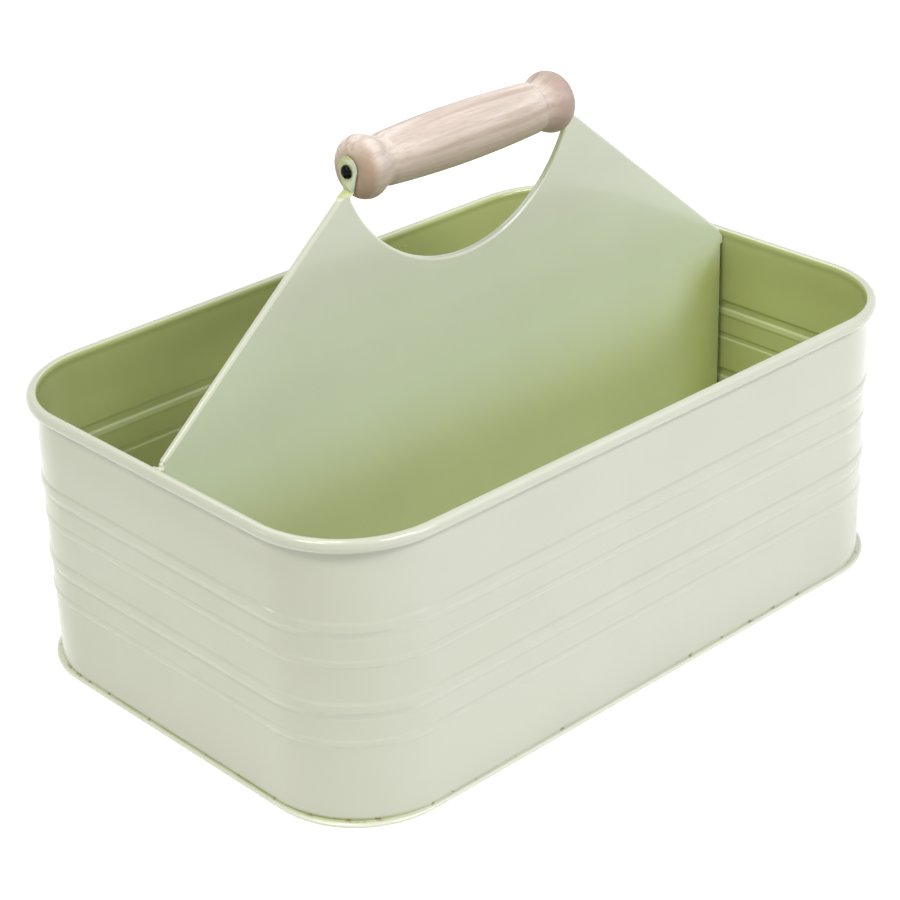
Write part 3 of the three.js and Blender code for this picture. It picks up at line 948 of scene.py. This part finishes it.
def twisted_neck(side):
    """At the horn's tip the two folds are pinched flat and turn a quarter, so that the ear lies flat on the
    grip's end; the pinch leaves a few upright pleats."""
    bottom = horn_tip - NECK_ROOT - SHEET
    top = grip_height - EAR_FOOT + SHEET
    crest_tip_reach = fold_tip.x + HEM_RADIUS / slope_out.x
    tip_width = crest_tip_reach - arch_half_chord
    tip_middle = (crest_tip_reach + arch_half_chord) / 2
    steps, sides = 28, 48
    rings = []
    for i in range(steps + 1):
        height = blend(bottom, top, i / steps)
        share = smooth_step(height, horn_tip - NECK_ROOT, grip_height - EAR_FOOT)
        turn = side * share * math.pi / 2
        width = blend(tip_width, NECK_WIDTH, share)
        thick = blend(2 * HEM_RADIUS, SHEET, share)
        middle = side * blend(tip_middle, ear_middle, share**2)
        back = blend(fold_middle, grip_y, share)
        crumple = PLEAT_DEPTH * math.sin(math.pi * share)
        ring = []
        for k in range(sides):
            angle = 2 * math.pi * k / sides
            across = squared(math.cos(angle)) / 2
            pleat = 1 + crumple * math.sin(2 * math.pi * PLEATS * across)
            a, b = across * width, squared(math.sin(angle)) / 2 * thick * pleat
            x = middle + a * math.cos(turn) - b * math.sin(turn)
            y = back + a * math.sin(turn) + b * math.cos(turn)
            ring.append((x, y, height))
        rings.append(ring)
    return mesh_piece("twisted_neck", loft(rings), enamel)


def ear(side):
    """A round-topped tab with a hole for the screw."""
    round_radius = EAR_WIDTH / 2
    outline = [Vector((-NECK_WIDTH / 2, -EAR_FOOT)), Vector((NECK_WIDTH / 2, -EAR_FOOT))]
    outline += arc((0, EAR_RISE - round_radius), round_radius, -8, 188, 32)
    inside = side * (ear_middle - SHEET / 2)
    place = lambda point: Vector((inside, grip_y + point.x, grip_height + point.y))
    tab = mesh_piece("ear", prism(outline, place, (side * SHEET, 0, 0), EAR_EDGE), enamel)
    ring = arc((0, 0), SHANK_RADIUS + FIT, 0, 345, 23)
    start = lambda point: Vector((inside - side * SHEET, grip_y + point.x, grip_height + point.y))
    drill = mesh_piece("drill", prism(ring, start, (3 * side * SHEET, 0, 0)), enamel)
    combine(tab, [drill], "DIFFERENCE")
    return tab


def combine(piece, others, operation="UNION"):
    """Joins other solids to a piece, or cuts them from it, and removes them."""
    for other in others:
        cut = piece.modifiers.new("combine", "BOOLEAN")
        cut.operation = operation
        cut.solver = "MANIFOLD"
        cut.object = other
    settle(piece)
    for other in others:
        bpy.data.objects.remove(other)
    return piece


def make_divider(tree):
    """The panel with its hems, end flanges, necks and ears, as one solid."""
    mirrored = [Vector((-point.x, point.y)) for point in (fold_tip, hem_foot)]
    parts = [
        hem(tree, "far_hem", [hem_foot, fold_tip]),
        hem(tree, "near_hem", mirrored),
        hem(tree, "arch_hem", arch_line()),
    ]
    for side in (-1, 1):
        parts += [end_flange(side), twisted_neck(side), ear(side)]
    piece = combine(divider_panel(), parts)
    return shade(edit(piece, cut_grid), SHEET_CREASE)


def turned(name, profile, steps, material):
    """Turns a profile, given as place along X and radius, about the grip's axis."""
    rings = []
    for along, radius in profile:
        angles = [2 * math.pi * i / steps for i in range(steps)] if radius else [0.0]
        rings.append(
            [(along, grip_y + radius * math.cos(a), grip_height + radius * math.sin(a)) for a in angles]
        )
    return mesh_piece(name, loft(rings), material)


def make_grip():
    """The barrel thins to its ends, then falls over a shoulder to a valley, with a ball at each end."""
    crest = grip_half - BALL_INSET
    valley = crest - VALLEY_REACH
    barrel_end = valley - SHOULDER
    thinning = BARREL_RADIUS - BARREL_END_RADIUS
    bore = SHANK_RADIUS + FIT
    bore_end = grip_half - SCREW_LENGTH
    steps, shoulder_steps = 24, 8
    barrel, shoulder, ball = [], [], []
    for i in range(steps + 1):
        share = i / steps
        barrel.append((barrel_end * share, BARREL_RADIUS - thinning * share**2))
    for i in range(1, shoulder_steps + 1):
        along = blend(barrel_end, valley, i / shoulder_steps)
        fall = smooth_step(along, barrel_end, valley)
        shoulder.append((along, blend(BARREL_END_RADIUS, VALLEY_RADIUS, fall)))
    for i in range(1, steps + 1):
        along = blend(valley, crest, i / steps)
        ball.append((along, blend(VALLEY_RADIUS, BALL_RADIUS, smooth_step(along, valley, crest))))
    for p in arc((0, 0), 1, 0, 90, steps)[1:]:
        ball.append((crest + BALL_INSET * p.y, END_FLAT + (BALL_RADIUS - END_FLAT) * p.x))
    end = [(grip_half, bore), (bore_end, bore), (bore_end, 0)]
    far = barrel + shoulder + ball + end
    near = [(-along, radius) for along, radius in reversed(far[1:])]
    return shade(turned("handle_grip_turned", near + far, 96, beech), TURNED_CREASE)


def make_screw(name, side):
    """A wood screw with a plain, pointed shank and a domed head."""
    seat = grip_half + 2 * FIT + SHEET
    reach = SCREW_LENGTH - FIT
    dome_steps = 12
    angles = [math.pi / 2 * i / dome_steps for i in range(dome_steps)]
    profile = [(seat - reach, 0), (seat - reach + TIP_LENGTH, SHANK_RADIUS), (seat, SHANK_RADIUS)]
    profile += [(seat + HEAD_HEIGHT * math.sin(a), HEAD_RADIUS * math.cos(a)) for a in angles]
    profile += [(seat + HEAD_HEIGHT, 0)]
    piece = turned(name, [(side * along, radius) for along, radius in profile], 48, japan)
    return shade(piece, TURNED_CREASE)


def make_tack(name, side, back):
    """A bead of weld between the divider's corner and the rim, drowned in enamel that runs back along the
    roll."""
    seat = on_fold(divider_notch)
    # Three lumps, each with its centre and its radii in millimetres, from the hem's foot back along the roll
    lumps = [
        (Vector((divider_notch - 1.1 * MM, fold_middle - 0.4 * MM, seat.y + 0.3 * MM)), (1.5, 1.6, 1.4)),
        (Vector((divider_notch + 0.3 * MM, fold_middle + 1.3 * MM, rim_height + 0.2 * MM)), (1.3, 1.8, 1.5)),
        (Vector((divider_notch + 0.5 * MM, fold_middle + 3.0 * MM, rim_height + 0.1 * MM)), (1.0, 1.6, 1.1)),
    ]
    work = bmesh.new()
    for centre, radii in lumps:
        ball = bmesh.ops.create_icosphere(work, subdivisions=3, radius=1.0)["verts"]
        bmesh.ops.scale(work, verts=ball, vec=Vector(radii) * MM)
        bmesh.ops.translate(work, verts=ball, vec=(side * centre.x, centre.y + back, centre.z))
    roll = Vector((side * roll_middle, fold_middle + 1 * MM, rim_height))
    add_bar(work, roll, Vector((0, 1, 0)), ROLL_HALF_WIDTH - TACK_SKIN, TACK_ROLL_LENGTH)
    hem_way = Vector((side * slope_way.x, 0, slope_way.y))
    hem_end = Vector((side * hem_foot.x, fold_middle, hem_foot.y))
    add_bar(work, hem_end, hem_way, HEM_RADIUS - 2 * TACK_SKIN, TACK_HEM_LENGTH)
    piece = mesh_piece(name, work, enamel)
    remesh = piece.modifiers.new("fused", "REMESH")
    remesh.mode = "VOXEL"
    remesh.voxel_size = TACK_VOXEL
    flow = piece.modifiers.new("flowed", "SMOOTH")
    flow.factor = 0.5
    flow.iterations = 16
    return shade(settle(piece), WELD_CREASE)


def add_bar(work, middle, way, radius, length):
    """A round bar in a mesh that is still being worked on."""
    bar = bmesh.ops.create_cone(
        work, cap_ends=True, segments=32, radius1=radius, radius2=radius, depth=length
    )["verts"]
    turn = way.to_track_quat("Z", "Y").to_matrix()
    bmesh.ops.rotate(work, verts=bar, cent=(0, 0, 0), matrix=turn)
    bmesh.ops.translate(work, verts=bar, vec=middle)


def from_corner(point):
    """The way out from the tub's plan at a point, level."""
    reach_x, reach_y = wall_half_length - wall_corner, wall_half_width - wall_corner
    held = Vector((min(max(point.x, -reach_x), reach_x), min(max(point.y, -reach_y), reach_y)))
    return Vector((point.x - held.x, point.y - held.y, 0))


def wall_painted_shade(point, normal):
    """Painted shade on the wall's inside, deepest under the roll; the pale outside tone as a painted highlight
    on the roll's top, and on the outside.
    """
    if normal.dot(from_corner(point)) >= 0:
        return 0.0
    # Painted shade under the roll, and a painted highlight where the roll faces up
    under_roll_shade = smooth_step(point.z, rim_height - RIM_RADIUS, rim_height)
    roll_top_highlight = smooth_step(normal.z, *RIM_TURN) * under_roll_shade
    # Bead flanks facing up are painted paler and flanks facing down deeper: painted light and shade
    wall = WALL_SHARE - FLANK_SHARE * normal.z
    return blend(wall, 1.0, under_roll_shade) * (1 - roll_top_highlight)


def pan_painted_shade(point, normal):
    """Painted shade on the floor inside the wall; the pale outside tone on the lip and underneath."""
    within = from_corner(point).length < wall_corner
    return WALL_SHARE if normal.z > FACES_UP and within else 0.0


def divider_light_and_shade(point, normal):
    """Painted shade low in the tub, in its far corner, at the top of the horns and under the arch's hem;
    darker and greener on the necks and the ears; a painted highlight on the hems' crests."""
    # Painted shade low on the panel, where the front wall shades it, fading out upwards
    panel = blend(*DIVIDER_SHARES, smooth_step(point.z, *DIVIDER_FADE))
    # Painted shade at the top of the horns, under the grip
    panel *= 1 - HORN_LOSS * smooth_step(point.z, *HORN_FADE)
    # Painted shade in the far corner, low down
    far_corner = smooth_step(point.x, divider_end - CORNER_FADE, divider_end)
    far_corner *= 1 - smooth_step(point.z, rim_height - CORNER_DROP, rim_height)
    panel = blend(panel, CORNER_SHARE, far_corner)
    behind = abs(point.y - divider_y - SHEET / 2) < SKIN
    if behind or point.y < divider_y - SHEET / 2 + SKIN:
        return panel
    if point.z > horn_tip:
        return blend(NECK_SHARE, EAR_SHARE, smooth_step(point.z, horn_tip, grip_height - EAR_FOOT))
    outward = math.copysign(normal.x, normal.x * point.x)
    # Faces turned outward or up take the pale outside tone: a painted highlight on the hems' crests
    crest = max(smooth_step(outward, *HEM_TURN), smooth_step(normal.z, *RIM_TURN))
    # Faces turned in under the arch's hem: painted shade
    in_arch = math.hypot(point.x, point.z - arch_centre.y) < fold_radius
    arch = ARCH_SHARE * smooth_step(-outward, *HEM_TURN) if in_arch else 0.0
    return blend(panel + arch, 0.0, crest)


def mark_painted_shade(piece, rule):
    """Marks how much painted shade and painted highlight each point's enamel tone takes."""
    marks = piece.data.attributes.new(PAINTED_SHADE, "FLOAT", "POINT")
    marks.data.foreach_set("value", [rule(vertex.co, vertex.normal) for vertex in piece.data.vertices])
    return piece


sweep_tree = round_the_tub()
edge_tree = along_an_edge()
dressed = [
    (mark_painted_shade(make_tub_wall(sweep_tree), wall_painted_shade), "caddy", "tub_wall", "painted_steel"),
    (mark_painted_shade(make_base_pan(sweep_tree), pan_painted_shade), "caddy", "base_pan", "painted_steel"),
    (mark_painted_shade(make_divider(edge_tree), divider_light_and_shade), "caddy", "divider_panel", "painted_steel"),
    (make_tack("weld_tack_near_bead", -1, 0.0), "caddy", "weld_tack_near", "painted_steel"),
    (make_tack("weld_tack_far_bead", 1, FAR_TACK_BACK), "caddy", "weld_tack_far", "painted_steel"),
    (make_grip(), "grip", "handle_grip", "grip_wood"),
    (make_screw("screw_near_dome", -1), "grip", "screw_near", "black_screw"),
    (make_screw("screw_far_dome", 1), "grip", "screw_far", "black_screw"),
]
for piece, body, node, slot in dressed:
    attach(piece, body)
    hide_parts(node)


def seen_directly(tree):
    """1 for what the camera, a reflection or a clear material looks at, and 0 for light on its way."""
    path = add(tree, "ShaderNodeLightPath").outputs
    either = add(
        tree,
        "ShaderNodeMath",
        {0: path["Is Camera Ray"], 1: path["Is Glossy Ray"]},
        operation="ADD",
    )
    seen = add(
        tree,
        "ShaderNodeMath",
        {0: either.outputs[0], 1: path["Is Transmission Ray"]},
        operation="ADD",
        use_clamp=True,
    )
    return seen.outputs[0]


def make_floor():
    """A plain white floor that stays white round the object and keeps its shadow."""
    material, tree, shader, place = new_material("white_studio_floor")
    shader.inputs["Base Color"].default_value = linear("#F2F2F2")
    shader.inputs["Roughness"].default_value = 1.0
    shader.inputs["Specular IOR Level"].default_value = 0.0
    shader.inputs["Emission Color"].default_value = (1, 1, 1, 1)
    distance = add(tree, "ShaderNodeVectorMath", {0: place}, operation="LENGTH")
    lift = add(
        tree,
        "ShaderNodeMapRange",
        {
            "Value": distance.outputs["Value"],
            "From Min": FLOOR_NEAR,
            "From Max": FLOOR_FAR,
            "To Min": FLOOR_LIFT,
            "To Max": 1.0,
        },
        interpolation_type="SMOOTHSTEP",
    )
    seen_lift = add(
        tree, "ShaderNodeMath", {0: seen_directly(tree), 1: lift.outputs[0]}, operation="MULTIPLY"
    )
    tree.links.new(seen_lift.outputs[0], shader.inputs["Emission Strength"])
    work = bmesh.new()
    bmesh.ops.create_grid(work, x_segments=1, y_segments=1, size=FLOOR_HALF)
    bmesh.ops.translate(work, verts=work.verts, vec=(0, 0, -FLOOR_DROP))
    floor = mesh_piece("studio_floor", work, material)


def make_world():
    """White to look at, and softer as light on the object."""
    world = bpy.data.worlds.new("white_studio")
    world.use_nodes = True
    scene.world = world
    tree = world.node_tree
    background = tree.nodes["Background"]
    background.inputs["Color"].default_value = (1, 1, 1, 1)
    strength = add(
        tree,
        "ShaderNodeMapRange",
        {"Value": seen_directly(tree), "To Min": DOME_LIGHT, "To Max": 1.0},
    )
    tree.links.new(strength.outputs[0], background.inputs["Strength"])


def make_lamp(name, azimuth, elevation, width, height, power, tint="#FFFFFF"):
    """A soft box that faces the tub: azimuth turns from the front to the far end, in degrees."""
    turn, lift = math.radians(azimuth), math.radians(elevation)
    way = Vector((math.sin(turn) * math.cos(lift), -math.cos(turn) * math.cos(lift), math.sin(lift)))
    lamp = bpy.data.lights.new(name, "AREA")
    lamp.shape = "RECTANGLE"
    lamp.size = width
    lamp.size_y = height
    lamp.energy = power
    lamp.color = linear(tint)[:3]
    holder = bpy.data.objects.new(name, lamp)
    holder.location = LAMP_AIM + way * LAMP_DISTANCE
    holder.rotation_euler = (-way).to_track_quat("-Z", "Y").to_euler()
    scene.collection.objects.link(holder)


def make_camera():
    """The photograph's view."""
    camera = bpy.data.objects.new("camera", bpy.data.cameras.new("camera"))
    camera.data.lens = CAMERA_LENS
    camera.location = CAMERA_PLACE
    camera.rotation_mode = "QUATERNION"
    aimed = (CAMERA_AIM - CAMERA_PLACE).to_track_quat("-Z", "Y")
    camera.rotation_quaternion = aimed @ Quaternion((0, 0, 1), math.radians(CAMERA_ROLL))
    scene.collection.objects.link(camera)
    scene.camera = camera


make_floor()
make_world()
make_lamp("front_box", 5, 45, 0.8, 0.4, 13.0)
make_lamp("near_end_box", -85, 50, 0.6, 0.4, 9.9, "#FFFFE0")
make_lamp("far_front_box", 40, 35, 1.0, 0.8, 3.6)
make_lamp("back_box", 180, 55, 1.0, 0.8, 4.1)
make_lamp("low_window", 22, 21, 0.3, 0.3, 3.2)
make_lamp("top_window", -95, 77, 0.3, 0.3, 6.2)
make_lamp("near_window", -123, 11, 0.25, 0.25, 1.0)
make_camera()
scene.view_settings.view_transform = "Standard"
